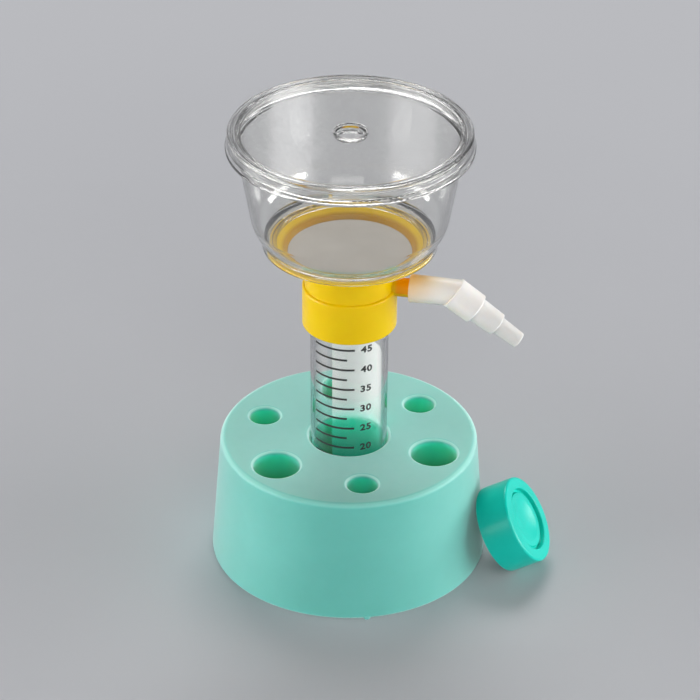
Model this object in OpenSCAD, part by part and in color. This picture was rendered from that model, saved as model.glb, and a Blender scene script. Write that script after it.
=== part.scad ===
// Vacuum filtration unit: a clear cup with a lid, a membrane and a screw-on adapter with a side arm,
// on a 50 mL centrifuge tube that stands in a moulded block with sockets for smaller tubes.
// The tube's cap leans on the block. Millimetres, +Z up, origin at the centre of the block's bottom.
// Fine threads are left out: the clearances where they run are here.

/* [Stand] */
// Diameter of the stand at its top
stand_d = 98.6; // [92:0.2:125]
// How far the stand's foot stands out past its top
stand_draft = 3.8; // [1:0.1:8]
// Height of the stand
stand_h = 49.6; // [46:0.2:70]
// Rounding of the stand's top edge
stand_edge_r = 2.2; // [0.5:0.1:3]
// Rounding of the stand's bottom edge
stand_foot_r = 1; // [0.3:0.1:2]
// Material under the centre socket
stand_floor = 2.5; // [1.5:0.1:6]
// Diameter of the moulding nib at the stand's foot
nib_d = 2.6; // [1.5:0.1:4]
// Direction of the nib round the stand
nib_turn = -82; // [-180:1:180]

/* [Sockets] */
// Radial gap between the 50 mL tube and its socket
centre_gap = 0.45; // [0.2:0.05:1]
// Distance from the stand's side to a small socket's axis, at the top
socket_inset = 14.3; // [12:0.1:18]
// Diameter of a 15 mL tube's socket
big_socket_d = 17.8; // [14:0.1:19]
// Material under a 15 mL tube's socket
big_socket_floor = 7.6; // [3:0.1:30]
// Diameter of a microtube's socket
small_socket_d = 11.8; // [8:0.1:14]
// Material under a microtube's socket
small_socket_floor = 7.6; // [3:0.1:34]
// Rounding of the sockets' rims
socket_rim_r = 1.3; // [0.4:0.1:2]
// Rounding round the sockets' floors
socket_floor_r = 1; // [0.4:0.1:2]
// Direction of the first microtube socket
socket_turn = -81.4; // [-180:0.2:180]

/* [Tube] */
// Outer diameter of the 50 mL tube at its brim
tube_d = 29.8; // [25:0.1:32]
// How much narrower the tube is where its cone starts
tube_taper = 0.8; // [0:0.1:1.4]
// Wall of the tube
tube_wall = 1.2; // [0.8:0.05:1.8]
// Length of the tube
tube_l = 111.4; // [100:0.2:118]
// Height of the tube's cone
tube_cone_h = 19; // [15:0.5:22]
// Diameter of the flat at the tube's tip
tube_tip_d = 4; // [3:0.5:6]

/* [Tube cap] */
// Gap between the tube and the cap's wall, where the threads run
cap_gap = 1; // [0.8:0.05:1.6]
// Wall of the cap
cap_wall = 1.1; // [0.8:0.05:2]
// Height of the cap
cap_h = 13.4; // [11:0.2:18]
// Thickness of the cap's top
cap_top = 3; // [2.9:0.1:3.6]
// Rounding of the cap's top edge
cap_edge_r = 1; // [0.3:0.1:1.6]
// Width of the flat ring outside the groove in the cap's top
cap_ring_w = 4.7; // [2:0.1:6]
// Width of that groove
cap_groove_w = 1.3; // [0.8:0.1:2]
// Depth of that groove under the ring outside it
cap_groove_depth = 2; // [1.9:0.1:2.2]
// How far the disc inside the groove lies below the ring outside it
cap_disc_drop = 1.1; // [0.4:0.1:1.1]
// Width of the flat ring between that groove and the dish in the middle
cap_dish_inset = 2.5; // [1:0.1:4]
// Depth of that dish
cap_dish_depth = 1.2; // [0.3:0.1:1.2]
// Length of the plug ring inside the cap
cap_plug_h = 3.4; // [2:0.1:5]
// Thickness of that plug ring
cap_plug_wall = 0.9; // [0.6:0.05:1.2]
// Angle of the leaning cap's axis above the table
cap_lean = 30.8; // [15:0.2:40]
// Direction round the stand in which the cap leans
cap_turn = -13; // [-30:1:10]

/* [Adapter] */
// Gap between the tube and the collar's wall, where the threads run
collar_gap = 1.4; // [1:0.05:1.8]
// Wall of the screw collar
collar_wall = 1.6; // [1.2:0.05:2.4]
// How far the collar reaches down from its sealing ledge
collar_grip = 15; // [12:0.2:20]
// Height of the collar's shoulder over the sealing ledge
shoulder_h = 1.7; // [1.2:0.1:3]
// Rounding of the collar's shoulder
shoulder_r = 1.1; // [0.3:0.1:1.1]
// How far the neck stands back from the collar's side
neck_step = 0.95; // [0.7:0.05:1.4]
// Wall of the neck
neck_wall = 1.6; // [1.2:0.05:2]
// Width of the ledge that presses on the gasket
ledge_w = 2.4; // [2:0.1:3]
// Thickness of that ledge
ledge_t = 0.9; // [0.8:0.1:1]
// Height from the shoulder to the top of the flange
head_rise = 17.8; // [17:0.1:24]
// How far the flange reaches out past the opening in the cup's floor
flange_w = 3.4; // [2.6:0.1:6]
// Thickness of the flange
flange_t = 1.8; // [1.2:0.1:2.4]
// Depth of the membrane's seat under the flange's top
seat_depth = 3.5; // [2.6:0.1:4.4]
// Width of the steep lip round the membrane
lip_w = 1.1; // [0.6:0.1:2]
// Width of the sloping ring from the flange down to the seat
slope_w = 3; // [1.5:0.1:3.2]
// Drop of that sloping ring
slope_drop = 1.6; // [0.8:0.1:1.9]
// Depth of the channels under the membrane
channel_depth = 1.2; // [0.8:0.1:1.4]
// Number of long membrane ribs
rib_count = 8; // [4:1:12]
// Width of a membrane rib
rib_w = 0.9; // [0.6:0.1:1.2]
// Inner diameter of the drip spout
spout_bore = 5; // [3:0.2:7]
// Wall of the drip spout
spout_wall = 1.3; // [0.9:0.1:1.8]
// Length of the drip spout inside the neck
spout_l = 8; // [3:0.5:8.5]

/* [Side arm] */
// Outer diameter of the side arm
arm_d = 7.3; // [6:0.1:7.4]
// Bore of the side arm
arm_bore = 2.2; // [1.6:0.1:2.2]
// Height of the arm's axis over the shoulder
arm_rise = 0.4; // [0.4:0.1:1.5]
// Direction of the arm round the neck
arm_turn = -10.4; // [-30:0.2:20]
// Length of the arm inside the hose connector
arm_stub = 10; // [6:0.5:11]

/* [Hose connector] */
// Length of the arm that shows between the collar's side and the connector's mouth
arm_bare = 5.1; // [1:0.1:12]
// Radial running gap between the arm and the connector
arm_gap = 0.05; // [0.02:0.01:0.1]
// Wall of the connector at its mouth
mouth_wall = 1.65; // [1.2:0.05:2.4]
// How much narrower the connector's first part is at the bend
mouth_taper = 0.7; // [0:0.1:1.4]
// Length of that straight part
elbow_x = 16.3; // [14:0.1:22]
// Downward bend of the connector
bend = 35.6; // [10:0.2:60]
// Diameters of the three hose steps where each starts
step_start_d = [12.2, 9.6, 6.9]; // [5:0.1:16]
// Diameters of the three hose steps where each ends
step_end_d = [11.9, 9, 6.1]; // [5:0.1:16]
// Lengths of the three hose steps
step_l = [10.8, 10.1, 10.3]; // [6:0.1:20]
// Bore through the connector
hose_bore = 3.8; // [2.4:0.1:4.4]

/* [Gasket and membrane] */
// Thickness of the sealing gasket
gasket_t = 1.1; // [0.8:0.1:2]
// Width of the sealing gasket
gasket_w = 2.4; // [1.8:0.1:2.8]
// Diameter of the membrane disc
membrane_d = 46.4; // [36:0.2:60]
// Gap between the membrane's edge and its seat
membrane_gap = 0.1; // [0.05:0.05:0.3]
// Thickness of the membrane disc
membrane_t = 0.3; // [0.15:0.05:0.4]

/* [Cup] */
// Gap between the adapter's flange and the cup's base ring
ring_gap = 0.4; // [0.2:0.1:1]
// Wall of the cup's base ring
ring_wall = 1.5; // [1.2:0.1:1.7]
// Overlap of the base ring down over the flange
ring_overlap = 0.4; // [0.2:0.1:1]
// Height of the base ring
ring_h = 3.8; // [3.2:0.1:5]
// How far the wall at the rim flange stands out past the base ring
cup_flare = 9.35; // [5:0.05:20]
// Height of the cup from the adapter's flange to the rim flange
cup_h = 40.1; // [30:0.1:60]
// How far the cup's lower curve carries the wall out past the base ring
cup_curve_w = 3.5; // [2:0.1:4.5]
// Wall of the cup
cup_wall = 1.3; // [1:0.05:1.6]
// Radius of the cup's lower curve, outside
cup_curve_r = 15; // [6:0.5:15]
// Width of the land by which the cup's floor stands on the flange
land_w = 1.8; // [1:0.1:2.2]
// How far the rim flange stands out past the wall
rim_flange_w = 4; // [3:0.1:5]
// Thickness of the rim flange
rim_flange_t = 1.2; // [0.8:0.1:1.6]
// Height of the upright rim over its flange
rim_h = 4.3; // [3.6:0.1:6]
// How far the upright rim stands out past the wall
rim_out = 1.4; // [1.2:0.1:1.8]

/* [Lid] */
// Thickness of the lid
lid_t = 1.1; // [0.8:0.05:1.3]
// How far the lid's edge stands up over its plate
lid_edge_h = 0.3; // [0.2:0.1:0.8]
// Gap between the lid's plug ring and the cup
plug_gap = 0.3; // [0.2:0.05:0.6]
// Length of the lid's plug ring
plug_h = 2.4; // [1.5:0.1:3]
// Gap between the cup's rim and the lid's skirt
skirt_gap = 0.7; // [0.5:0.1:1.2]
// Length of the lid's skirt under the cup's rim top
skirt_h = 3; // [2:0.1:3.2]
// Diameter of the dimple in the middle of the lid
dimple_d = 12.8; // [11:0.2:16]
// Depth of that dimple
dimple_depth = 2; // [1.6:0.1:2.2]
// Thickness of the flat boss under the dimple's floor
boss_floor_t = 0.8; // [0.8:0.05:1]
// Number of vent ribs inside the skirt
vent_ribs = 2; // [2:1:6]
// Direction of the first vent rib
vent_turn = -99; // [-180:1:180]

/* [Hidden] */
$fn = 96;

// Gap left where a piece only rests on a piece of another body
rest_gap = 0.05;
// Room by which a cutter passes through a face
over = 1;
// Depth by which a corner's sliver reaches past the sharp corner
bite = 0.2;
// How far a rounding's circle passes its two edges, so that it crosses them
cross = 0.003;
// Fall of the channels' floor from the seat to the spout
channel_fall = 0.5;
// Rounding of small moulded edges
soft_r = 0.4;

// Heights up the stack
brim_z = stand_floor + tube_l;
gasket_z = brim_z + rest_gap;
ledge_z = gasket_z + gasket_t + rest_gap;
collar_z = ledge_z - collar_grip;
shoulder_z = ledge_z + shoulder_h;
arm_z = shoulder_z + arm_rise;
flange_z = shoulder_z + head_rise;
seat_z = flange_z - seat_depth;
rim_flange_z = flange_z + cup_h;
rim_z = rim_flange_z + rim_flange_t + rim_h;
lid_z = rim_z + 2 * rest_gap;

// Radii that pieces share
stand_r = stand_d / 2;
foot_r = stand_r + stand_draft;
socket_at = stand_r - socket_inset;
tube_r = tube_d / 2;
collar_in_r = tube_r + collar_gap;
collar_r = collar_in_r + collar_wall;
neck_r = collar_r - neck_step;
plenum_r = neck_r - neck_wall;
mouth_x = collar_r + arm_bare;
seat_r = membrane_d / 2 + membrane_gap;
channel_r = seat_r - 0.6;
hole_r = seat_r + lip_w + slope_w;
flange_r = hole_r + flange_w;
ring_in_r = flange_r + ring_gap;
ring_r = ring_in_r + ring_wall;
cup_r = ring_r + cup_flare;
rim_in_r = cup_r - cup_wall + rim_out;
rim_out_r = rim_in_r + cup_wall;
rim_flange_r = cup_r + rim_flange_w;
cap_in_r = tube_r + cap_gap;
cap_r = cap_in_r + cap_wall;

function unit(v) = v / norm(v);
function flat(p) = [p.x, p.y];
function turn(a, b, c) = (b.x - a.x) * (c.y - b.y) - (b.y - a.y) * (c.x - b.x);
// Where two lines cross, each given by a point and a direction
function crossing(p, d, q, e) = p + d * ((q.x - p.x) * e.y - (q.y - p.y) * e.x) / (d.x * e.y - d.y * e.x);

// The sliver between a sharp corner and the arc that rounds it, where the edges are long enough for it
module corner_sliver(before, tip, after, wanted_r) {
    to_before = unit(before - tip);
    to_after = unit(after - tip);
    half = acos(to_before * to_after) / 2;
    inward = unit(to_before + to_after);
    reach = min(wanted_r / tan(half), 0.96 * norm(before - tip), 0.96 * norm(after - tip));
    r = reach * tan(half);
    centre = tip + inward * r / sin(half);
    difference() {
        polygon([tip + to_before * reach, tip - inward * bite, tip + to_after * reach, centre]);
        translate(centre) circle(r + cross);
    }
}

// A closed outline, anticlockwise, of points [x, y, rounding radius]
module outline(points) {
    n = len(points);
    corners = [
        for (i = [0 : n - 1]) if (points[i][2] > 0) [points[(i + n - 1) % n], points[i], points[(i + 1) % n]]
    ];
    difference() {
        union() {
            polygon([for (p = points) flat(p)]);
            for (c = corners)
                if (turn(c[0], c[1], c[2]) < 0) corner_sliver(flat(c[2]), flat(c[1]), flat(c[0]), c[1][2]);
        }
        for (c = corners)
            if (turn(c[0], c[1], c[2]) > 0) corner_sliver(flat(c[0]), flat(c[1]), flat(c[2]), c[1][2]);
    }
}

module turned(points) {
    rotate_extrude() outline(points);
}

// A blind round socket with rounded rim and floor, cut down from the stand's top
module socket_cut(r, floor_z) {
    turned([
        [0, floor_z, 0],
        [r, floor_z, socket_floor_r],
        [r, stand_h + over, 0],
        [0, stand_h + over, 0]
    ]);
    rotate_extrude() difference() {
        translate([r - over, stand_h - socket_rim_r]) square([socket_rim_r + over, socket_rim_r + over]);
        translate([r + socket_rim_r, stand_h - socket_rim_r]) circle(socket_rim_r);
    }
}

module stand() {
    color("mediumaquamarine") difference() {
        union() {
            turned([
                [0, 0, 0],
                [foot_r, 0, stand_foot_r],
                [stand_r, stand_h, stand_edge_r],
                [0, stand_h, 0]
            ]);
            rotate(nib_turn) translate([foot_r - nib_d / 4, 0, 0]) cylinder(d = nib_d, h = nib_d / 3);
        }
        socket_cut(tube_r + centre_gap, stand_floor);
        for (k = [0 : 2]) {
            rotate(socket_turn + 120 * k) translate([socket_at, 0, 0])
                socket_cut(small_socket_d / 2, small_socket_floor);
            rotate(socket_turn + 60 + 120 * k) translate([socket_at, 0, 0])
                socket_cut(big_socket_d / 2, big_socket_floor);
        }
    }
}

module tube() {
    cone_r = tube_r - tube_taper / 2;
    tip_r = tube_tip_d / 2;
    cone_z = stand_floor + tube_cone_h;
    color("whitesmoke", 0.4) turned([
        [0, stand_floor, 0],
        [tip_r, stand_floor, 1.5],
        [cone_r, cone_z, 5],
        [tube_r, brim_z, soft_r],
        [tube_r - tube_wall, brim_z, soft_r],
        [cone_r - tube_wall, cone_z + tube_wall / 2, 4],
        [tip_r * 0.6, stand_floor + tube_wall * 1.5, 0.8],
        [0, stand_floor + tube_wall * 1.5, 0]
    ]);
}

// The screw cap, open end down, standing at the origin
module cap_upright() {
    plug_r = tube_r - tube_wall - 0.1;
    roof_z = cap_h - cap_top;
    disc_z = cap_h - cap_disc_drop;
    groove_r = cap_r - cap_ring_w - cap_groove_w;
    dish_r = groove_r - cap_dish_inset;
    ball_r = (pow(dish_r, 2) + pow(cap_dish_depth, 2)) / (2 * cap_dish_depth);
    difference() {
        turned([
            [0, roof_z, 0],
            [plug_r - cap_plug_wall, roof_z, soft_r],
            [plug_r - cap_plug_wall, roof_z - cap_plug_h, 0],
            [plug_r, roof_z - cap_plug_h, soft_r],
            [plug_r, roof_z, soft_r],
            [cap_in_r, roof_z, soft_r],
            [cap_in_r, 0, 0],
            [cap_r, 0, soft_r],
            [cap_r, cap_h, cap_edge_r],
            [groove_r + cap_groove_w, cap_h, soft_r],
            [groove_r + cap_groove_w, cap_h - cap_groove_depth, soft_r],
            [groove_r, cap_h - cap_groove_depth, soft_r],
            [groove_r, disc_z, soft_r],
            [0, disc_z, 0]
        ]);
        translate([0, 0, disc_z - cap_dish_depth + ball_r]) sphere(ball_r);
    }
}

// The cap leans: its open end's lowest point is on the table, and the highest touches the stand's side
module tube_cap() {
    touch_z = 2 * cap_r * cos(cap_lean);
    touch_r = foot_r - stand_draft * touch_z / stand_h + rest_gap;
    color("lightseagreen")
        rotate(cap_turn)
        translate([touch_r + cap_r * sin(cap_lean), 0, touch_z / 2])
        rotate([0, 90 - cap_lean, 0])
        cap_upright();
}

module gasket() {
    inner_r = collar_in_r - 0.2 - gasket_w;
    color("gainsboro") turned([
        [inner_r, gasket_z, 0.2],
        [collar_in_r - 0.2, gasket_z, 0.2],
        [collar_in_r - 0.2, gasket_z + gasket_t, 0.2],
        [inner_r, gasket_z + gasket_t, 0.2]
    ]);
}

// Radial rib that holds the membrane up over its channels
module membrane_rib(inner_r) {
    foot = channel_depth + channel_fall + 0.1;
    translate([inner_r, -rib_w / 2, seat_z - foot]) cube([channel_r + 0.3 - inner_r, rib_w, foot]);
}

module adapter() {
    ledge_r = collar_in_r - ledge_w;
    roof_z = seat_z - channel_depth - 2.7;
    spout_r = spout_bore / 2 + spout_wall;
    arm_root = max(neck_r - 0.5, collar_in_r + 0.1);
    color("gold") difference() {
        union() {
            turned([
                [spout_bore / 2, roof_z - spout_l, 0],
                [spout_r, roof_z - spout_l, soft_r],
                [spout_r, roof_z, soft_r],
                [plenum_r, roof_z, 1],
                [plenum_r, ledge_z + ledge_t, 0],
                [ledge_r, ledge_z + ledge_t, 0],
                [ledge_r, ledge_z, 0],
                [collar_in_r, ledge_z, 0],
                [collar_in_r, collar_z, 0],
                [collar_r, collar_z, 0.6],
                [collar_r, shoulder_z, shoulder_r],
                [neck_r, shoulder_z, 0.2],
                [neck_r, roof_z - 1.6, 1.5],
                [flange_r - 1, flange_z - flange_t, 0.2],
                [flange_r, flange_z - flange_t, 0.3],
                [flange_r, flange_z, 0.2],
                [hole_r, flange_z, 0.5],
                [hole_r - slope_w, flange_z - slope_drop, 0.5],
                [seat_r, seat_z + membrane_t, 0],
                [seat_r, seat_z, 0],
                [channel_r, seat_z, 0],
                [channel_r, seat_z - channel_depth, 0.3],
                [spout_bore / 2, seat_z - channel_depth - channel_fall, 0.8]
            ]);
            for (k = [0 : rib_count - 1]) {
                rotate(360 / rib_count * k) membrane_rib(spout_bore / 2 + 1.5);
                rotate(360 / rib_count * (k + 0.5)) membrane_rib(channel_r / 2);
            }
            rotate(arm_turn) translate([arm_root, 0, arm_z]) rotate([0, 90, 0])
                turned([
                    [0, 0, 0],
                    [arm_d / 2, 0, 0],
                    [arm_d / 2, mouth_x + arm_stub - arm_root, soft_r],
                    [0, mouth_x + arm_stub - arm_root, 0]
                ]);
        }
        rotate(arm_turn) translate([spout_r + over, 0, arm_z]) rotate([0, 90, 0])
            cylinder(d = arm_bore, h = mouth_x + arm_stub);
    }
}

module membrane() {
    color("seashell") translate([0, 0, seat_z]) cylinder(d = membrane_d, h = membrane_t);
}

module cup() {
    knee = [ring_r, flange_z + ring_h - ring_overlap];
    bulge = knee + cup_curve_w * [1, 1];
    wall = unit([cup_r, rim_flange_z] - bulge);
    wall_in_r = cup_r - cup_wall / wall.y;
    floor_edge = [hole_r, flange_z + 1.4];
    inner_knee = knee + cup_wall * [-sin(45), sin(45)];
    floor_curve = crossing(floor_edge, [cos(23), sin(23)], inner_knee, [1, 1]);
    wall_curve = crossing(inner_knee, [1, 1], [wall_in_r, rim_flange_z], wall);
    land_r = hole_r + land_w;
    color("aliceblue", 0.35) turned([
        [ring_in_r, flange_z - ring_overlap, 0],
        [ring_r, flange_z - ring_overlap, 0.3],
        [knee.x, knee.y, 0],
        [bulge.x, bulge.y, cup_curve_r],
        [cup_r, rim_flange_z, 0.5],
        [rim_flange_r, rim_flange_z, 0.4],
        [rim_flange_r, rim_flange_z + rim_flange_t, 0.4],
        [rim_out_r, rim_flange_z + rim_flange_t, 0.5],
        [rim_out_r, rim_z, 0.5],
        [rim_in_r, rim_z, 0.4],
        [rim_in_r, rim_flange_z + rim_flange_t, 0.6],
        [wall_in_r, rim_flange_z, 0.6],
        [wall_curve.x, wall_curve.y, cup_curve_r - cup_wall],
        [floor_curve.x, floor_curve.y, 8],
        [floor_edge.x, floor_edge.y, 0.4],
        [hole_r, flange_z, 0],
        [land_r, flange_z, 0],
        [land_r, flange_z + 1.2, 0.4],
        [ring_in_r, flange_z + 2.4, 0.4]
    ]);
}

module lid() {
    plug_r = rim_in_r - plug_gap;
    skirt_r = rim_out_r + skirt_gap;
    edge_z = lid_z + lid_t;
    plate_z = edge_z - lid_edge_h;
    dimple_r = dimple_d / 2;
    dimple_z = plate_z - dimple_depth;
    boss_z = dimple_z - boss_floor_t;
    color("ghostwhite", 0.35) union() {
        turned([
            [0, boss_z, 0],
            [dimple_r - 0.3, boss_z, 0.6],
            [dimple_r - 0.1, plate_z - lid_t, 0.4],
            [plug_r - lid_t, plate_z - lid_t, 0.5],
            [plug_r - lid_t, lid_z - plug_h, 0.3],
            [plug_r, lid_z - plug_h, 0.3],
            [plug_r, lid_z, 0.3],
            [skirt_r, lid_z, 0.6],
            [skirt_r + 0.2, rim_z - skirt_h, 0],
            [skirt_r + 0.3 + lid_t, rim_z - skirt_h, 0.3],
            [skirt_r + lid_t, edge_z, 0.9],
            [plug_r, edge_z, 0.3],
            [plug_r - lid_edge_h, plate_z, 0.3],
            [dimple_r, plate_z, 0.8],
            [dimple_r / 2, dimple_z, 4],
            [0, dimple_z, 0]
        ]);
        for (k = [0 : vent_ribs - 1])
            rotate(vent_turn + 360 / vent_ribs * k)
                translate([skirt_r - skirt_gap / 2, -0.6, rim_z - skirt_h + 0.3])
                cube([skirt_gap, 1.2, skirt_h]);
    }
}

// The connector lies along +X from its mouth, and bends down at the elbow
module hose_connector() {
    bore_r = arm_d / 2 + arm_gap;
    mouth_r = bore_r + mouth_wall;
    elbow_r = mouth_r - mouth_taper / 2;
    slant = [0, 90 + bend, 0];
    lap = elbow_r * tan(bend) + 0.5;
    lap_r = elbow_r - mouth_taper / 2 * lap / elbow_x;
    tail_l = step_l[0] + step_l[1] + step_l[2];
    color("ivory") rotate(arm_turn) translate([mouth_x, 0, arm_z]) difference() {
        union() {
            difference() {
                rotate([0, 90, 0]) turned([
                    [0, 0, 0],
                    [mouth_r, 0, 0.3],
                    [lap_r, elbow_x + lap, 0],
                    [0, elbow_x + lap, 0]
                ]);
                translate([elbow_x, 0, 0]) rotate(slant) translate([0, 0, 2 * elbow_r])
                    cube(4 * elbow_r, center = true);
            }
            translate([elbow_x, 0, 0]) rotate(slant) turned([
                [0, 0, 0],
                [step_start_d[0] / 2, 0, 0.3],
                [step_end_d[0] / 2, step_l[0], 0.4],
                [step_start_d[1] / 2, step_l[0], 0.2],
                [step_end_d[1] / 2, step_l[0] + step_l[1], 0.4],
                [step_start_d[2] / 2, step_l[0] + step_l[1], 0.2],
                [step_end_d[2] / 2, tail_l, 0.6],
                [0, tail_l, 0]
            ]);
        }
        translate([-over, 0, 0]) rotate([0, 90, 0]) cylinder(r = bore_r, h = over + arm_stub + 0.3);
        rotate([0, 90, 0]) cylinder(d = hose_bore, h = elbow_x);
        translate([elbow_x, 0, 0]) sphere(d = hose_bore);
        translate([elbow_x, 0, 0]) rotate(slant) cylinder(d = hose_bore, h = tail_l + over);
    }
}

stand();
tube();
tube_cap();
gasket();
adapter();
membrane();
cup();
lid();
hose_connector();
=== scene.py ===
"""Looks for the vacuum filtration unit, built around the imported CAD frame. Metres, +Z up.

Kept CAD nodes get procedural materials. The tube is replaced by a finer shell with its screw thread.
The threads of the collar and the cap, the printed scale, its numbers and the white writing panel are added.
"""

import math

import bpy
from mathutils import Matrix, Vector


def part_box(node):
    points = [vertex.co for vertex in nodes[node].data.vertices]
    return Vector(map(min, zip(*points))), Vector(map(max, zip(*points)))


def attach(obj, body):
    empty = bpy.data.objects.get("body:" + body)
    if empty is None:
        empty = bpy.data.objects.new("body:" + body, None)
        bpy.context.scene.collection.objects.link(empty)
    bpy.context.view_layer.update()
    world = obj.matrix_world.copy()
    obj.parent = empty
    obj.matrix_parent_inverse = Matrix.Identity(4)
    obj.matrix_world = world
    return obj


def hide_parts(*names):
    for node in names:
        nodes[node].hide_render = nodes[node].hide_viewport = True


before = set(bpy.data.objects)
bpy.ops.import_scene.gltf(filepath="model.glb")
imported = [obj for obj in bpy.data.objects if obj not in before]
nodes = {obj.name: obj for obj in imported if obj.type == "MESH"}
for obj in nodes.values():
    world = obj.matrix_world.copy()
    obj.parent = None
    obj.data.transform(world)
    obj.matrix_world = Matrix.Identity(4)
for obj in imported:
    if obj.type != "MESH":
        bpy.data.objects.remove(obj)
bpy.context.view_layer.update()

MM = 0.001
TURN = 2 * math.pi

# ---------------------------------------------------------------- camera

CAMERA_TARGET = Vector((0, 0, 87.26 * MM))
CAMERA_DISTANCE = 1.32005
CAMERA_ELEVATION = math.radians(31.57)
CAMERA_ROLL = 0.0061
# Sensor and lens in mm, and the shift as a share of the picture's width
SENSOR = 36.0
FOCAL = 179.0743
CAMERA_SHIFT = 0.001


def place_camera():
    data = bpy.data.cameras.new("camera")
    data.sensor_width = SENSOR
    data.lens = FOCAL
    data.shift_x = CAMERA_SHIFT
    data.clip_start = 0.05
    data.clip_end = 60
    camera = bpy.data.objects.new("camera", data)
    bpy.context.scene.collection.objects.link(camera)
    out = Vector((0, -math.cos(CAMERA_ELEVATION), math.sin(CAMERA_ELEVATION)))
    up = Vector((0, math.sin(CAMERA_ELEVATION), math.cos(CAMERA_ELEVATION)))
    right = Vector((1, 0, 0))
    c, s = math.cos(CAMERA_ROLL), math.sin(CAMERA_ROLL)
    turned_right, turned_up = c * right + s * up, c * up - s * right
    axes = Matrix((turned_right, turned_up, out)).transposed()
    camera.matrix_world = Matrix.Translation(CAMERA_TARGET + CAMERA_DISTANCE * out) @ axes.to_4x4()
    bpy.context.scene.camera = camera


# ---------------------------------------------------------------- node graphs

# Where a Mix node keeps its colour sockets
MIX_FACTOR, MIX_A, MIX_B, MIX_RESULT = 0, 6, 7, 2


def add(tree, kind, settings=None, **sockets):
    """A node with its settings and inputs; an input is a number, a colour or another node's output."""
    node = tree.nodes.new(kind)
    for key, value in (settings or {}).items():
        setattr(node, key, value)
    for key, value in sockets.items():
        put(tree, node.inputs[key.replace("_", " ")], value)
    return node


def put(tree, socket, value):
    """Links an output to the socket, or sets the socket's own value."""
    if isinstance(value, bpy.types.NodeSocket):
        tree.links.new(value, socket)
    elif socket.type == "RGBA" and len(value) == 3:
        socket.default_value = (*value, 1)
    else:
        socket.default_value = value


def mix(tree, factor, a, b):
    """Colour a where factor is 0, and b where it is 1."""
    node = tree.nodes.new("ShaderNodeMix")
    node.data_type = "RGBA"
    put(tree, node.inputs[MIX_FACTOR], factor)
    put(tree, node.inputs[MIX_A], a)
    put(tree, node.inputs[MIX_B], b)
    return node.outputs[MIX_RESULT]


def math_node(tree, operation, a, b=0.0):
    node = tree.nodes.new("ShaderNodeMath")
    node.operation = operation
    put(tree, node.inputs[0], a)
    put(tree, node.inputs[1], b)
    return node.outputs[0]


def times(tree, *factors):
    product = factors[0]
    for factor in factors[1:]:
        product = math_node(tree, "MULTIPLY", product, factor)
    return product


def span(tree, value, low, high, to_low=0.0, to_high=1.0):
    """value from low to high, smoothly turned into to_low to to_high."""
    node = add(tree, "ShaderNodeMapRange", {"interpolation_type": "SMOOTHSTEP"}, Value=value)
    for name, number in (("From Min", low), ("From Max", high), ("To Min", to_low), ("To Max", to_high)):
        node.inputs[name].default_value = number
    return node.outputs[0]


def noise(tree, place, scale, detail=3.0, roughness=0.5):
    node = add(tree, "ShaderNodeTexNoise", Vector=place, Scale=scale, Detail=detail, Roughness=roughness)
    return node.outputs["Fac"]


def patches(tree, place, scale, detail, roughness=0.5, to_low=0.0, to_high=1.0):
    """Soft patches from to_low to to_high, made from noise."""
    return span(tree, noise(tree, place, scale, detail, roughness), 0.3, 0.7, to_low, to_high)


def bump(tree, height, strength, distance, normal=None):
    node = add(tree, "ShaderNodeBump", Strength=strength, Distance=distance, Height=height)
    if normal is not None:
        tree.links.new(normal, node.inputs["Normal"])
    return node.outputs["Normal"]


def new_material(name):
    """An empty material, its node tree, and the place of a point in metres."""
    material = bpy.data.materials.new(name)
    material.use_nodes = True
    material.node_tree.nodes.clear()
    tree = material.node_tree
    place = tree.nodes.new("ShaderNodeTexCoord").outputs["Object"]
    return material, tree, place


def output(tree, shader):
    out = tree.nodes.new("ShaderNodeOutputMaterial")
    tree.links.new(shader, out.inputs["Surface"])


def blend_shaders(tree, factor, first, second):
    node = tree.nodes.new("ShaderNodeMixShader")
    put(tree, node.inputs[0], factor)
    tree.links.new(first.outputs[0], node.inputs[1])
    tree.links.new(second.outputs[0], node.inputs[2])
    return node.outputs[0]


def split(tree, vector):
    """The x, y and z of a vector."""
    node = tree.nodes.new("ShaderNodeSeparateXYZ")
    tree.links.new(vector, node.inputs[0])
    return node.outputs


def along(tree, place, origin, direction):
    """Distance of a point along direction from origin."""
    node = tree.nodes.new("ShaderNodeVectorMath")
    node.operation = "DOT_PRODUCT"
    tree.links.new(place, node.inputs[0])
    node.inputs[1].default_value = direction
    return math_node(tree, "SUBTRACT", node.outputs["Value"], Vector(origin).dot(Vector(direction)))


def radius_of(tree, place):
    """Distance of a point from the Z axis."""
    x, y, _ = split(tree, place)
    squares = math_node(tree, "ADD", times(tree, x, x), times(tree, y, y))
    return math_node(tree, "SQRT", squares)


def edge_mask(tree, low, high):
    """1 on rounded edges between flat tops and upright walls, by how far the surface leans."""
    lean = split(tree, tree.nodes.new("ShaderNodeNewGeometry").outputs["Normal"])[2]
    return times(tree, span(tree, lean, *low), span(tree, lean, *high, 1.0, 0.0))


def principled(tree, **sockets):
    return add(tree, "ShaderNodeBsdfPrincipled", **sockets)


# ---------------------------------------------------------------- materials

# The stand's height, and the radius of its top
STAND_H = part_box("stand")[1].z
STAND_R = 49.3 * MM
# The membrane's underside and radius
MEMBRANE_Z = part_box("membrane")[0].z
MEMBRANE_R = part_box("membrane")[1].x
# Which way the side arm points
ARM_TURN = math.radians(-10.4)
ARM_DIRECTION = (math.cos(ARM_TURN), math.sin(ARM_TURN), 0.0)
# Which way the leaning cap's axis points, and how far it rises
CAP_TURN = math.radians(-13)
CAP_LEAN = math.radians(30.8)
CAP_AXIS = (
    math.cos(CAP_LEAN) * math.cos(CAP_TURN),
    math.cos(CAP_LEAN) * math.sin(CAP_TURN),
    math.sin(CAP_LEAN),
)


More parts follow.
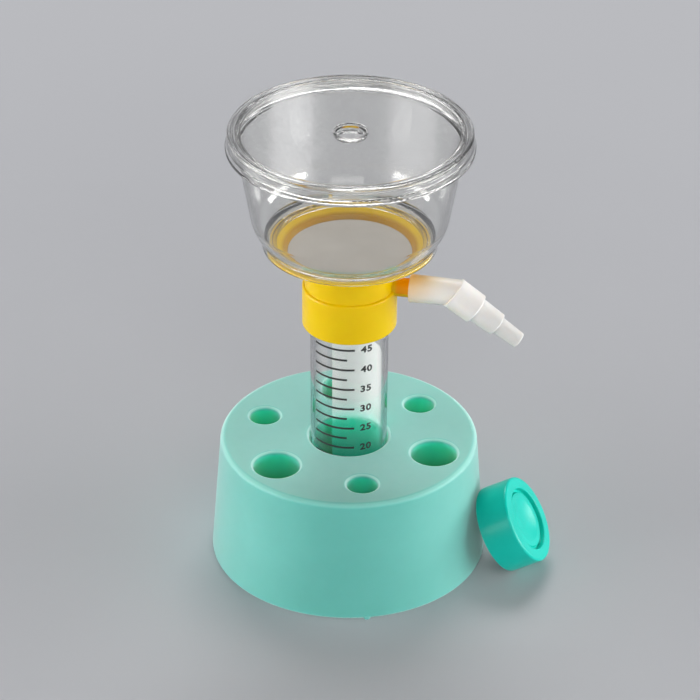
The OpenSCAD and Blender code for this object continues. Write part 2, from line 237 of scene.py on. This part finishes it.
def stand_material():
    """Satin silicone, hazy outside: painted highlight along its rounded edges, painted light and shade in
    its sockets.
    """
    material, tree, place = new_material("silicone_mint")
    z = split(tree, place)[2]
    radius = radius_of(tree, place)
    colour = mix(tree, patches(tree, place, 30, 4, 0.6), (0.045, 0.475, 0.395), (0.062, 0.510, 0.430))
    # Painted highlight: rounded edges are lightened, more round the holes than round the outside.
    rim_highlight = edge_mask(tree, (0.15, 0.6), (0.85, 0.98))
    strength = span(tree, radius, STAND_R - 4.5 * MM, STAND_R - 3.5 * MM, 0.6, 0.3)
    colour = mix(tree, times(tree, rim_highlight, strength), colour, (0.50, 0.86, 0.77))
    # Painted light and shade in the sockets: a bright green in place of light that the silicone lets
    # through, darkening lower down as painted shade.
    inside = times(
        tree,
        span(tree, radius, STAND_R - 3.5 * MM, STAND_R - 2.5 * MM, 1.0, 0.0),
        span(tree, z, STAND_H - 2.2 * MM, STAND_H - 0.6 * MM, 1.0, 0.0),
        span(tree, z, 1.0 * MM, 2.0 * MM),
    )
    socket_shade = span(tree, z, STAND_H - 20.0 * MM, STAND_H - 1.0 * MM, 1.0, 0.0)
    socket = mix(tree, socket_shade, (0.000, 0.920, 0.650), (0.000, 0.430, 0.050))
    colour = mix(tree, inside, colour, socket)
    skin = bump(tree, noise(tree, place, 2600, 3, 0.6), 0.18, 0.03 * MM)
    skin = bump(tree, noise(tree, place, 90, 2), 0.10, 0.2 * MM, skin)
    shader = principled(
        tree,
        Base_Color=colour,
        Roughness=patches(tree, place, 260, 3, to_low=0.50, to_high=0.58),
        IOR=1.45,
        Specular_IOR_Level=0.90,
        Normal=skin,
        Subsurface_Weight=0.60,
        Subsurface_Radius=(0.35, 1.0, 0.85),
        Subsurface_Scale=0.010,
        Sheen_Weight=1.0,
        Sheen_Roughness=0.6,
        Sheen_Tint=(0.85, 1.0, 0.97, 1.0),
    )
    output(tree, shader.outputs[0])
    return material


def cap_material(open_end):
    """Satin teal plastic, with painted light paling it at the thin edge of the cap's open end."""
    material, tree, place = new_material("cap_teal")
    height = along(tree, place, open_end, CAP_AXIS)
    colour = mix(tree, patches(tree, place, 90, 4, 0.55), (0.001, 0.550, 0.440), (0.003, 0.600, 0.485))
    # Painted light: the colour pales towards the thin edge of the open end.
    colour = mix(tree, span(tree, height, 0.2 * MM, 0.9 * MM, 0.6, 0.0), colour, (0.10, 0.72, 0.62))
    shader = principled(
        tree,
        Base_Color=colour,
        Roughness=span(tree, noise(tree, place, 45, 1), 0.25, 0.75, 0.28, 0.36),
        IOR=1.45,
        Specular_IOR_Level=0.35,
        Normal=bump(tree, noise(tree, place, 150, 2), 0.08, 0.12 * MM),
    )
    output(tree, shader.outputs[0])
    return material


def adapter_material():
    """Glossy yellow plastic, with painted shade: orange on the side arm, and brownish under and round the
    membrane.
    """
    material, tree, place = new_material("adapter_yellow")
    z = split(tree, place)[2]
    out = along(tree, place, (0, 0, 0), ARM_DIRECTION)
    colour = mix(tree, patches(tree, place, 55, 4, 0.55), (0.820, 0.535, 0.000), (0.850, 0.575, 0.001))
    # Painted shade: the side arm, shaded under the cup's flange, is tinted deep orange.
    arm = times(
        tree,
        span(tree, out, 17.2 * MM, 19.0 * MM),
        span(tree, z, 116.0 * MM, 116.6 * MM),
        span(tree, z, 121.5 * MM, 122.5 * MM, 1.0, 0.0),
    )
    colour = mix(tree, times(tree, arm, 0.9), colour, (0.950, 0.360, 0.000))
    # Painted shade: brownish in the recess round the membrane's edge.
    seat_shade = times(
        tree,
        span(tree, radius_of(tree, place), MEMBRANE_R + 1.3 * MM, MEMBRANE_R + 3.0 * MM, 1.0, 0.0),
        span(tree, z, MEMBRANE_Z - 2.1 * MM, MEMBRANE_Z - 1.1 * MM),
    )
    colour = mix(tree, times(tree, seat_shade, 0.7), colour, (0.480, 0.200, 0.000))
    shader = principled(
        tree,
        Base_Color=colour,
        Roughness=patches(tree, place, 240, 3, to_low=0.20, to_high=0.27),
        IOR=1.45,
        Specular_IOR_Level=0.3,
        Normal=bump(tree, noise(tree, place, 110, 2), 0.05, 0.10 * MM),
        Subsurface_Weight=0.3,
        Subsurface_Radius=(1.0, 0.55, 0.05),
        Subsurface_Scale=0.003,
    )
    output(tree, shader.outputs[0])
    return material


def gasket_material():
    """Soft matt silicone, off-white."""
    material, tree, place = new_material("gasket_silicone")
    shader = principled(
        tree,
        Base_Color=mix(tree, patches(tree, place, 300, 3), (0.60, 0.60, 0.57), (0.72, 0.72, 0.69)),
        Roughness=patches(tree, place, 900, 2, to_low=0.5, to_high=0.65),
        Normal=bump(tree, noise(tree, place, 2500, 2), 0.3, 0.03 * MM),
        Subsurface_Weight=0.3,
        Subsurface_Radius=(1.0, 0.95, 0.9),
        Subsurface_Scale=0.0015,
    )
    output(tree, shader.outputs[0])
    return material


def membrane_material():
    """Matt filter paper with fine pores and fibres."""
    material, tree, place = new_material("membrane_porous")
    pores = add(tree, "ShaderNodeTexVoronoi", Vector=place, Scale=4200.0).outputs["Distance"]
    fibre = noise(tree, place, 2300, 5, 0.7)
    colour = mix(tree, patches(tree, place, 55, 4, 0.6), (0.620, 0.577, 0.520), (0.680, 0.637, 0.580))
    colour = mix(tree, span(tree, pores, 0.0, 0.35, 0.35, 0.0), colour, (0.44, 0.40, 0.36))
    colour = mix(tree, span(tree, fibre, 0.5, 0.75, 0.0, 0.35), colour, (0.72, 0.68, 0.63))
    skin = bump(tree, pores, 0.5, 0.03 * MM)
    skin = bump(tree, fibre, 0.5, 0.03 * MM, skin)
    shader = principled(
        tree,
        Base_Color=colour,
        Roughness=span(tree, fibre, 0.3, 0.7, 0.75, 0.9),
        Normal=skin,
        Sheen_Weight=0.1,
        Subsurface_Weight=0.15,
        Subsurface_Radius=(1.0, 0.9, 0.85),
        Subsurface_Scale=0.0008,
    )
    output(tree, shader.outputs[0])
    return material


def connector_material():
    """Milky plastic, with painted shade greying it towards its tip, and a painted orange glow where the arm
    shows through its mouth.
    """
    material, tree, place = new_material("connector_milky")
    out = along(tree, place, (0, 0, 0), ARM_DIRECTION)
    z = split(tree, place)[2]
    colour = mix(tree, patches(tree, place, 110, 4, 0.6), (0.900, 0.865, 0.825), (0.930, 0.905, 0.870))
    # Painted shade: greyer towards the tip.
    tip = span(tree, out, 38.0 * MM, 64.0 * MM, 0.0, 0.75)
    colour = mix(tree, tip, colour, (0.640, 0.635, 0.605))
    # Painted light: the orange arm inside seen through the mouth's milky wall, stronger on its upper side.
    arm_glow_through = span(tree, out, 22.5 * MM, 37.0 * MM, 1.0, 0.0)
    upper = span(tree, z, 113.0 * MM, 122.5 * MM, 0.35, 0.85)
    colour = mix(tree, times(tree, arm_glow_through, upper), colour, (0.86, 0.56, 0.27))
    shader = principled(
        tree,
        Base_Color=colour,
        Roughness=patches(tree, place, 500, 3, to_low=0.33, to_high=0.45),
        IOR=1.49,
        Normal=bump(tree, noise(tree, place, 1500, 3), 0.2, 0.03 * MM),
        Subsurface_Weight=0.45,
        Subsurface_Radius=(1.0, 0.85, 0.7),
        Subsurface_Scale=0.003,
    )
    output(tree, shader.outputs[0])
    return material


def clear_material(name, tint, ior, rough, wave, edge, edge_from):
    """Clear plastic: refracting to the eye, darkening to edge as painted shade where it is seen edge-on, and
    lit through.
    """
    material, tree, place = new_material(name)
    colour = mix(tree, patches(tree, place, 70, 4, 0.6), tuple(0.985 * t for t in tint), tint)
    # Painted shade: where the plastic is seen edge-on its colour darkens to edge.
    edge_on = add(tree, "ShaderNodeLayerWeight", Blend=0.5).outputs["Facing"]
    colour = mix(tree, span(tree, edge_on, edge_from, 1.0), colour, edge)
    glass = principled(
        tree,
        Base_Color=colour,
        Roughness=span(tree, noise(tree, place, 600, 3), 0.35, 0.75, rough, rough * 2.2),
        IOR=ior,
        Transmission_Weight=1.0,
        Normal=bump(tree, noise(tree, place, 60, 2), wave, 0.4 * MM),
    )
    through = add(tree, "ShaderNodeBsdfTransparent", Color=tuple(0.975 * t**0.5 for t in tint))
    path = tree.nodes.new("ShaderNodeLightPath")
    lamps = math_node(tree, "MAXIMUM", path.outputs["Is Shadow Ray"], path.outputs["Is Diffuse Ray"])
    output(tree, blend_shaders(tree, lamps, glass, through))
    return material


def print_material(name, ink, worn, rough, low=None, shine=None, **extra):
    """Printed ink, with worn patches.

    low is a painted green cast that it takes down in the stand's socket, in place of light off the silicone.
    shine is two colours of the weak light that the silicone lets through to it there, deep down and higher
    up, painted on as a glow.
    """
    material, tree, place = new_material(name)
    z = split(tree, place)[2]
    wear = noise(tree, place, 1500, 4, 0.65)
    colour = mix(tree, span(tree, wear, 0.45, 0.8, 0.0, 0.6), ink, worn)
    if low:
        # Painted light: lower down the colour turns to low, a green cast from the socket's walls.
        colour = mix(tree, span(tree, z, STAND_H - 5.6 * MM, STAND_H + 16.4 * MM, 0.9, 0.0), colour, low)
    if shine:
        deep, upper = shine
        light = mix(tree, span(tree, z, STAND_H - 15.6 * MM, STAND_H - 3.6 * MM), deep, upper)
        light = mix(tree, span(tree, z, STAND_H - 3.6 * MM, STAND_H + 4.4 * MM), light, (0, 0, 0))
        extra.update(Emission_Color=light, Emission_Strength=1.0)
    shader = principled(
        tree,
        Base_Color=colour,
        Roughness=patches(tree, place, 900, 2, to_low=rough, to_high=rough + 0.15),
        Normal=bump(tree, wear, 0.2, 0.02 * MM),
        **extra,
    )
    output(tree, shader.outputs[0])
    return material


def give(node, material):
    """A kept CAD node gets one material all over."""
    slots = nodes[node].data.materials
    slots.clear()
    slots.append(material)


# ---------------------------------------------------------------- mesh helpers


def link(name, verts, faces, material, sharp=40):
    """A smooth-shaded object from corners and faces, with edges over sharp degrees kept hard."""
    mesh = bpy.data.meshes.new(name)
    mesh.from_pydata([tuple(v) for v in verts], [], faces)
    mesh.validate()
    mesh.polygons.foreach_set("use_smooth", [True] * len(mesh.polygons))
    mesh.set_sharp_from_angle(angle=math.radians(sharp))
    mesh.materials.append(material)
    piece = bpy.data.objects.new(name, mesh)
    bpy.context.scene.collection.objects.link(piece)
    return piece


def around(angle, r, z):
    """The point at an angle round the Z axis, with r and z in mm."""
    return Vector((r * math.cos(angle), r * math.sin(angle), z)) * MM


def rounded(points, steps=6):
    """An outline of points (r, z, rounding radius), in mm, with its corners rounded."""
    longest_share = 0.96
    result = []
    n = len(points)
    for i, (x, z, r) in enumerate(points):
        tip = Vector((x, z))
        if r <= 0:
            result.append((x, z))
            continue
        before = Vector(points[i - 1][:2])
        after = Vector(points[(i + 1) % n][:2])
        a, b = (before - tip).normalized(), (after - tip).normalized()
        half = a.angle(b) / 2
        room = longest_share * min((before - tip).length, (after - tip).length)
        reach = min(r / math.tan(half), room)
        radius = reach * math.tan(half)
        centre = tip + (a + b).normalized() * (radius / math.sin(half))
        start, end = tip + a * reach - centre, tip + b * reach - centre
        turn = start.angle(end)
        side = 1 if start.x * end.y - start.y * end.x > 0 else -1
        for k in range(steps + 1):
            t = side * turn * k / steps
            c, s = math.cos(t), math.sin(t)
            result.append((centre.x + c * start.x - s * start.y, centre.y + s * start.x + c * start.y))
    return result


def supported(outline):
    """The outline with points added near the ends of long sides, to keep smooth shading at its corners."""
    long_side, near_end = 1.0, 0.06
    result = []
    for i, (r, z) in enumerate(outline):
        result.append((r, z))
        next_r, next_z = outline[(i + 1) % len(outline)]
        length = math.hypot(next_r - r, next_z - z)
        if length > long_side:
            for t in (near_end / length, 1 - near_end / length):
                result.append((r + t * (next_r - r), z + t * (next_z - z)))
    return result


def lathe(name, outline, material, bulge, segments=224):
    """Turns a closed outline, in mm, round the Z axis; bulge(angle, r, z) adds to a point's radius."""
    on_axis = 1e-6
    verts, rows, faces = [], [], []
    for r, z in outline:
        if r < on_axis:
            rows.append([len(verts)] * segments)
            verts.append(Vector((0, 0, z * MM)))
            continue
        row = []
        for k in range(segments):
            angle = TURN * k / segments
            row.append(len(verts))
            verts.append(around(angle, r + bulge(angle, r, z), z))
        rows.append(row)
    for i, low in enumerate(rows):
        high = rows[(i + 1) % len(rows)]
        for k in range(segments):
            m = (k + 1) % segments
            corners = [low[k], low[m], high[m], high[k]]
            face = [v for j, v in enumerate(corners) if v != corners[j - 1]]
            if len(face) > 2:
                faces.append(face)
    return link(name, verts, faces, material)


# All threads are right-handed, with one pitch and one profile; lengths in mm
THREAD_PITCH = 4.0
THREAD_FOOT = 1.6
THREAD_CREST = 0.7


def taper(share, ends=0.06):
    """From 0 at both ends of a thread's length up to 1 along it."""
    t = max(0.0, min(1.0, min(share, 1 - share) / ends))
    return t * t * (3 - 2 * t)


def ridge(name, wall_r, height, start_z, turns, material, per_turn=96):
    """A thread's ridge that stands in from a round wall, in mm; its foot is sunk in the wall."""
    sunk, foot_out, least_out = 0.12, 0.02, 0.03
    verts, faces = [], []
    count = int(turns * per_turn)
    for i in range(count + 1):
        angle = TURN * i / per_turn
        z = start_z + THREAD_PITCH * i / per_turn
        crest_r = wall_r - max(height * taper(i / count), least_out)
        section = [
            (wall_r + sunk, z - THREAD_FOOT / 2),
            (wall_r - foot_out, z - THREAD_FOOT / 2),
            (crest_r, z - THREAD_CREST / 2),
            (crest_r, z + THREAD_CREST / 2),
            (wall_r - foot_out, z + THREAD_FOOT / 2),
            (wall_r + sunk, z + THREAD_FOOT / 2),
        ]
        verts += [around(angle, r, h) for r, h in section]
    corners = len(section)
    for i in range(count):
        for j in range(corners):
            m = (j + 1) % corners
            a, b = corners * i, corners * (i + 1)
            faces.append([a + j, a + m, b + m, b + j])
    faces.append(list(reversed(range(corners))))
    faces.append([corners * count + j for j in range(corners)])
    return link(name, verts, faces, material, 30)


# ---------------------------------------------------------------- the tube

# Sizes in mm, as in the solid that the shell replaces
tube_low, tube_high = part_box("tube")
TUBE_R = tube_high.x / MM
TUBE_FOOT = tube_low.z / MM
BRIM_Z = tube_high.z / MM
TUBE_TAPER = 0.8
TUBE_WALL = 1.2
CONE_H = 19
TIP_R = 2.0
# Where the tube's thread starts, how often it goes round and how far it stands out
THREAD_START = 103.2
THREAD_TURNS = 2.0
TUBE_THREAD_H = 0.65
# How far a print's back and face are off the tube
INK_LIFT = 0.012
INK_T = 0.05


def tube_outer(z):
    """Outer radius of the tube at height z, above its cone."""
    cone_z = TUBE_FOOT + CONE_H
    return TUBE_R - TUBE_TAPER / 2 * (BRIM_Z - z) / (BRIM_Z - cone_z)


def tube_thread(angle, z):
    """How far the tube's thread stands out at a place."""
    best = 0.0
    for k in range(int(THREAD_TURNS) + 2):
        turns_in = k + angle / TURN
        if turns_in > THREAD_TURNS:
            continue
        off = abs(z - THREAD_START - THREAD_PITCH * turns_in)
        if off < THREAD_FOOT / 2:
            edge = min(1.0, (THREAD_FOOT / 2 - off) / ((THREAD_FOOT - THREAD_CREST) / 2))
            best = max(best, TUBE_THREAD_H * edge * taper(turns_in / THREAD_TURNS))
    return best


def make_tube(material):
    cone_r = TUBE_R - TUBE_TAPER / 2
    cone_z = TUBE_FOOT + CONE_H
    inner_foot = TUBE_FOOT + TUBE_WALL * 1.5
    outline = rounded(
        [
            (0, TUBE_FOOT, 0),
            (TIP_R, TUBE_FOOT, 1.5),
            (cone_r, cone_z, 5),
            (TUBE_R, BRIM_Z, 0.4),
            (TUBE_R - TUBE_WALL, BRIM_Z, 0.4),
            (cone_r - TUBE_WALL, cone_z + TUBE_WALL / 2, 4),
            (TIP_R * 0.6, inner_foot, 0.8),
            (0, inner_foot, 0),
        ]
    )
    # Close rows of points where the thread runs
    margin, step = 1.0, 0.2
    first = THREAD_START - margin
    last = THREAD_START + THREAD_PITCH * THREAD_TURNS + margin
    heights = [first + step * k for k in range(int((last - first) / step) + 1)]
    above_thread = next(i for i, (r, z) in enumerate(outline) if z > last)
    outline[above_thread:above_thread] = [(tube_outer(z), z) for z in heights]

    def bulge(angle, r, z):
        outside = r > TUBE_R - TUBE_WALL / 2
        return tube_thread(angle, z) if outside and first < z < last else 0

    tube = lathe("graduated_tube", supported(outline), material, bulge)
    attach(tube, "stand")
    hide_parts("tube")


def on_tube(s, z, lift, toward=-90.0):
    """A point s mm round the tube from direction toward (degrees), at height z, lifted off its side."""
    return around(math.radians(toward) + s / TUBE_R, tube_outer(z) + lift, z)


def strip(verts, faces, left, right, bottom, top, toward=-90.0, step=0.35):
    """A thin printed band between two places round the tube; bottom and top are functions of the place."""
    count = max(2, int((right - left) / step))
    first = len(verts)
    for i in range(count + 1):
        s = left + (right - left) * i / count
        for z, lift in ((bottom(s), INK_LIFT), (bottom(s), INK_T), (top(s), INK_T), (top(s), INK_LIFT)):
            verts.append(on_tube(s, z, lift, toward))
    for i in range(count):
        a = first + 4 * i
        for j in range(4):
            m = (j + 1) % 4
            faces.append([a + j, a + 4 + j, a + 4 + m, a + m])
    faces.append([first, first + 1, first + 2, first + 3])
    last = first + 4 * count
    faces.append([last + 3, last + 2, last + 1, last])


# The scale: height of the top line, distance of two numbered lines, how many, and their width, in mm
SCALE_TOP_Z = 96.0
SCALE_STEP = 8.686
MARKS = 9
LINE_W = 0.86
# Where lines start and end round the tube, in degrees from its front
LINE_START = -57.7
LONG_LINE_END = 8.0
SHORT_LINE_END = -3.0
# The numbers: height and boldness in mm, spacing, stretch round the tube, and where they start in degrees
NUMBER_SIZE = 3.75
NUMBER_BOLD = 0.13
NUMBER_SPACING = 1.12
NUMBER_STRETCH = 1.18
TWO_DIGITS_AT = 17.0
ONE_DIGIT_AT = 27.0
# The white panel: its sides in degrees from the tube's back, its ends and its corners' radius in mm
PANEL_LEFT, PANEL_RIGHT = -68.0, 28.5
PANEL_BOTTOM, PANEL_TOP = 30.0, 85.0
PANEL_CORNER = 3.2


def arc(degrees):
    """Distance round the tube for an angle."""
    return math.radians(degrees) * TUBE_R


def make_scale(material):
    """Long lines beside the numbers, and short ones halfway between."""
    verts, faces = [], []
    for k in range(2 * MARKS - 1):
        z = SCALE_TOP_Z - SCALE_STEP * k / 2
        end = LONG_LINE_END if k % 2 == 0 else SHORT_LINE_END
        below, above = z - LINE_W / 2, z + LINE_W / 2
        strip(verts, faces, arc(LINE_START), arc(end), lambda s, b=below: b, lambda s, a=above: a)
    piece = link("tube_scale", verts, faces, material, 30)
    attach(piece, "stand")


def number_mesh(value):
    """Flat digits in mm, with their thickness, lying in the XY plane."""
    curve = bpy.data.curves.new(f"number_{value}", "FONT")
    curve.body = str(value)
    curve.size = NUMBER_SIZE
    curve.offset = NUMBER_BOLD
    curve.space_character = NUMBER_SPACING
    curve.extrude = (INK_T - INK_LIFT) / 2
    curve.resolution_u = 6
    text = bpy.data.objects.new(f"number_text_{value}", curve)
    bpy.context.scene.collection.objects.link(text)
    bpy.context.view_layer.update()
    mesh = bpy.data.meshes.new_from_object(text.evaluated_get(bpy.context.evaluated_depsgraph_get()))
    bpy.data.objects.remove(text)
    bpy.data.curves.remove(curve)
    return mesh


def make_numbers(material):
    """Each number is bent round the tube, beside its line."""
    for k in range(MARKS):
        value = 5 * (MARKS - k)
        mesh = number_mesh(value)
        left = min(v.co.x for v in mesh.vertices)
        ys = [v.co.y for v in mesh.vertices]
        middle_y = (min(ys) + max(ys)) / 2
        start = arc(TWO_DIGITS_AT) if value > 9 else arc(ONE_DIGIT_AT)
        for v in mesh.vertices:
            s = NUMBER_STRETCH * (v.co.x - left) + start
            z = SCALE_TOP_Z - SCALE_STEP * k + v.co.y - middle_y
            v.co = on_tube(s, z, (INK_LIFT + INK_T) / 2 + v.co.z)
        mesh.materials.clear()
        mesh.materials.append(material)
        piece = bpy.data.objects.new(f"tube_number_{value}", mesh)
        mesh.name = piece.name
        bpy.context.scene.collection.objects.link(piece)
        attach(piece, "stand")


def make_panel(material):
    """The white writing panel on the tube's back, with round corners."""
    left, right = arc(PANEL_LEFT), arc(PANEL_RIGHT)

    def dip(s):
        """How far the panel's ends draw in at a place near its corners."""
        off = max(0.0, PANEL_CORNER - (s - left), PANEL_CORNER - (right - s))
        return PANEL_CORNER - math.sqrt(max(0.0, PANEL_CORNER**2 - off**2))

    def bottom(s):
        return PANEL_BOTTOM + dip(s)

    def top(s):
        return PANEL_TOP - dip(s)

    verts, faces = [], []
    strip(verts, faces, left, right, bottom, top, toward=90.0, step=0.3)
    piece = link("writing_panel", verts, faces, material, 30)
    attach(piece, "stand")


# ---------------------------------------------------------------- threads of the collar and the cap

# Gaps between the tube and the walls that the threads stand on, and the cap's wall and height, in mm
COLLAR_GAP = 1.4
CAP_GAP = 1.0
CAP_WALL = 1.1
CAP_H = 13.4
# How far the collar's ridge stands in, and how far its turns sit above the middle between the tube's
COLLAR_THREAD_H = 1.05
THREAD_PLAY = 0.1
# How far the cap's ridge stands in, where it starts over the open end, and how often it goes round
CAP_THREAD_H = 0.6
CAP_THREAD_START = 1.8
CAP_THREAD_TURNS = 1.6


def make_collar_thread(material):
    start = THREAD_START - THREAD_PITCH / 2 + THREAD_PLAY
    piece = ridge("collar_thread", TUBE_R + COLLAR_GAP, COLLAR_THREAD_H, start, THREAD_TURNS, material)
    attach(piece, "head")


def cap_frame():
    """The centre of the cap's open end, and the matrix that lays an upright cap in its leaning place."""
    cap_low, cap_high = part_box("tube_cap")
    middle_x = (cap_low.x + cap_high.x) / 2
    reach = middle_x / math.cos(CAP_TURN) - CAP_H * MM / 2 * math.cos(CAP_LEAN)
    height = (TUBE_R + CAP_GAP + CAP_WALL) * MM * math.cos(CAP_LEAN)
    origin = Vector((reach * math.cos(CAP_TURN), reach * math.sin(CAP_TURN), height))
    lean = Matrix.Rotation(math.pi / 2 - CAP_LEAN, 4, "Y")
    return origin, Matrix.Translation(origin) @ Matrix.Rotation(CAP_TURN, 4, "Z") @ lean


def make_cap_thread(material, place):
    wall_r = TUBE_R + CAP_GAP
    piece = ridge("cap_thread", wall_r, CAP_THREAD_H, CAP_THREAD_START, CAP_THREAD_TURNS, material)
    piece.data.transform(place)
    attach(piece, "stand")


# ---------------------------------------------------------------- floor, world and lamps

BACKDROP = (0.500, 0.505, 0.530)
ZENITH = (0.06, 0.062, 0.07)
# Radii of the round floor's rings, in mm
FLOOR_RINGS = (100, 200, 400, 800, 1600, 3200, 6400, 12000)


def floor_material():
    """Matt pale floor, which keeps the same colour far out, where the lamps don't reach."""
    near, far = 0.22, 0.65
    material, tree, place = new_material("floor_pale")
    matt = principled(
        tree,
        Base_Color=mix(tree, patches(tree, place, 3, 3), (0.520, 0.525, 0.548), (0.540, 0.545, 0.568)),
        Roughness=patches(tree, place, 300, 2, to_low=0.80, to_high=0.90),
        Specular_IOR_Level=0.1,
        Normal=bump(tree, noise(tree, place, 1500, 2), 0.05, 0.05 * MM),
    )
    far_out = add(tree, "ShaderNodeEmission", Color=BACKDROP, Strength=1.0)
    path = tree.nodes.new("ShaderNodeLightPath")
    seen = math_node(tree, "MAXIMUM", path.outputs["Is Camera Ray"], path.outputs["Is Glossy Ray"])
    seen = math_node(tree, "MAXIMUM", seen, path.outputs["Is Transmission Ray"])
    shown = times(tree, span(tree, radius_of(tree, place), near, far), seen)
    output(tree, blend_shaders(tree, shown, matt, far_out))
    return material


def make_floor():
    segments = 96
    verts, faces = [Vector((0, 0, 0))], []
    for r in FLOOR_RINGS:
        verts += [around(TURN * k / segments, r, 0) for k in range(segments)]
    for k in range(segments):
        faces.append([0, 1 + k, 1 + (k + 1) % segments])
    for i in range(len(FLOOR_RINGS) - 1):
        a, b = 1 + i * segments, 1 + (i + 1) * segments
        for k in range(segments):
            m = (k + 1) % segments
            faces.append([a + k, b + k, b + m, a + m])
    floor = link("floor", verts, faces, floor_material())


def make_world():
    """The backdrop's colour at the horizon, and nearly dark overhead."""
    world = bpy.data.worlds.new("studio")
    bpy.context.scene.world = world
    world.use_nodes = True
    tree = world.node_tree
    tree.nodes.clear()
    rise = split(tree, tree.nodes.new("ShaderNodeTexCoord").outputs["Generated"])[2]
    colour = mix(tree, span(tree, rise, 0.03, 0.50), BACKDROP, ZENITH)
    background = add(tree, "ShaderNodeBackground", Color=colour, Strength=1.0)
    out = tree.nodes.new("ShaderNodeOutputWorld")
    tree.links.new(background.outputs[0], out.inputs["Surface"])


def lamp(name, place, aim, width, height, power):
    """A soft rectangular lamp in metres and watts, which the camera doesn't see."""
    data = bpy.data.lights.new(name, "AREA")
    data.shape = "RECTANGLE"
    data.size, data.size_y = width, height
    data.energy = power
    light = bpy.data.objects.new(name, data)
    bpy.context.scene.collection.objects.link(light)
    light.location = place
    light.visible_camera = False
    light.rotation_euler = (Vector(aim) - Vector(place)).to_track_quat("-Z", "Y").to_euler()


def make_lamps():
    """Low softboxes at the sides, one lamp behind and one in front, and two strips for the cup's streaks."""
    middle = (0, 0, 0.09)
    lamp("key_left", (-1.15, -0.22, 0.18), middle, 1.3, 0.32, 12.6)
    lamp("key_right", (1.15, -0.15, 0.18), middle, 1.4, 0.32, 14.8)
    lamp("top_back", (0.0, 1.00, 1.35), middle, 1.0, 0.6, 13.2)
    lamp("front_fill", (0.10, -1.45, 1.25), middle, 1.2, 0.8, 8.2)
    lamp("strip_left", (-0.050, 1.5, 0.98), (-0.02, 0, 0.18), 0.036, 0.62, 0.10)
    lamp("strip_right", (0.053, 1.5, 0.98), (0.02, 0, 0.18), 0.040, 0.62, 0.075)


# ---------------------------------------------------------------- build

place_camera()
make_world()
make_lamps()
make_floor()

yellow = adapter_material()
cap_open_end, cap_place = cap_frame()
teal = cap_material(cap_open_end)
# Each clear part's edge is the painted shade it darkens to where it is seen edge-on.
tube_clear = clear_material(
    "tube_clear",
    tint=(0.985, 0.985, 0.980),
    ior=1.49,
    rough=0.030,
    wave=0.10,
    edge=(0.17, 0.18, 0.20),
    edge_from=0.38,
)
cup_clear = clear_material(
    "cup_clear",
    tint=(0.965, 0.964, 0.950),
    ior=1.57,
    rough=0.012,
    wave=0.05,
    edge=(0.30, 0.30, 0.285),
    edge_from=0.55,
)
lid_clear = clear_material(
    "lid_clear",
    tint=(0.968, 0.967, 0.955),
    ior=1.57,
    rough=0.040,
    wave=0.05,
    edge=(0.38, 0.38, 0.36),
    edge_from=0.55,
)
# low is painted green light from the socket; shine is the panel's painted glow there.
ink = print_material(
    "scale_ink",
    ink=(0.022, 0.020, 0.017),
    worn=(0.10, 0.095, 0.085),
    rough=0.45,
    low=(0.002, 0.024, 0.017),
)
white = print_material(
    "panel_white",
    ink=(0.99, 0.92, 0.86),
    worn=(0.94, 0.87, 0.81),
    rough=0.55,
    low=(0.010, 0.90, 0.66),
    shine=((0.000, 0.090, 0.060), (0.008, 0.190, 0.135)),
    Subsurface_Weight=0.9,
    Subsurface_Radius=(1.0, 1.0, 0.95),
    Subsurface_Scale=0.0008,
)

give("stand", stand_material())
give("tube_cap", teal)
give("adapter", yellow)
give("gasket", gasket_material())
give("membrane", membrane_material())
give("hose_connector", connector_material())
give("cup", cup_clear)
give("lid", lid_clear)

make_tube(tube_clear)
make_scale(ink)
make_numbers(ink)
make_panel(white)
make_collar_thread(yellow)
make_cap_thread(teal, cap_place)

bpy.context.scene.view_settings.view_transform = "Standard"
